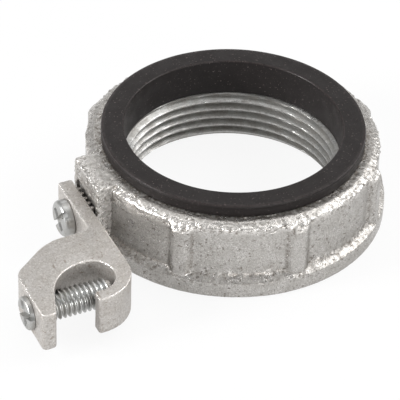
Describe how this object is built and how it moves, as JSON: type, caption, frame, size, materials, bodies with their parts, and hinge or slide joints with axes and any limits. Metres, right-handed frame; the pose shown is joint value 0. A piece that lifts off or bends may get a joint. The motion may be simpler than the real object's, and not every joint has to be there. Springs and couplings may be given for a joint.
{
  "type": "insulated grounding bushing with lay-in lug",
  "caption": "Insulated metal grounding bushing that screws onto conduit, with a plastic throat ring and a side lay-in lug whose clamp screw grips a ground wire.",
  "frame": {"origin": "on the bore axis, at the bottom face of the casting, which is the mouth that the conduit enters", "axes": "+Z along the bore axis towards the insulated throat, -X towards the lug boss"},
  "size_m": [0.0947, 0.069, 0.021],
  "materials": {
    "casting": "rough cast malleable iron, zinc plated",
    "insulator": "moulded black thermoplastic, satin",
    "lug": "extruded, tumbled, matte",
    "screw": "bright zinc plated"
  },
  "bodies": {
    "bushing": {"bushing_body": "casting", "throat_insulator": "insulator", "lay_in_lug": "lug", "lug_screw": "screw"},
    "clamp": {"clamp_screw": "screw"}
  },
  "joints": [
    {"name": "clamp_travel", "type": "slide", "parent": "bushing", "child": "clamp", "axis": [-1, 0, 0], "range_m": [0, 0.012]}
  ]
}
